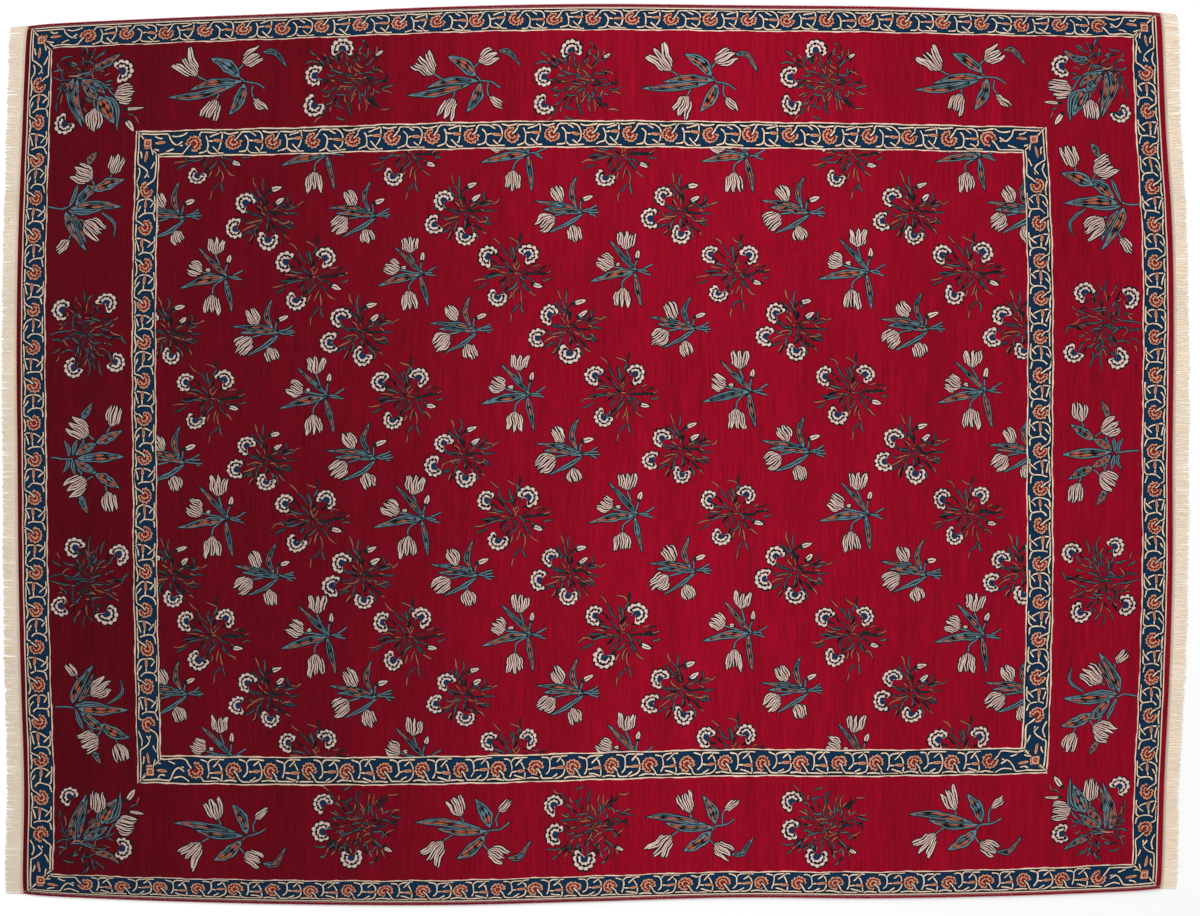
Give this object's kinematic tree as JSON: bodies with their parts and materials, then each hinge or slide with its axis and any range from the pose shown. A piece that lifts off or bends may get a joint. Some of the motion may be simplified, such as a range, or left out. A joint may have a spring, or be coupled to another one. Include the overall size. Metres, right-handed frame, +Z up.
{
  "type": "persian kerman rug",
  "caption": "Large flat hand-knotted carpet with a pile body, overcast long edges and a cotton warp fringe at both ends.",
  "frame": {"origin": "middle of the whole carpet seen from above, fringes included, on the floor that it lies on", "axes": "+X along the carpet's length towards its right-hand fringe, +Y across its width, +Z up out of the pile"},
  "size_m": [4.0673, 3.0855, 0.0107],
  "materials": {
    "pile_wool": "short cut wool pile, crimson ground with cream, blue, teal and rust motifs",
    "selvedge_wool": "wool yarn overcast round the edge warps, dark crimson",
    "warp_cotton": "unbleached cotton warp ends, matt"
  },
  "bodies": {
    "root": {"rug_body": "pile_wool", "selvedge_near": "selvedge_wool", "selvedge_far": "selvedge_wool", "fringe_left": "warp_cotton", "fringe_right": "warp_cotton"}
  },
  "joints": []
}
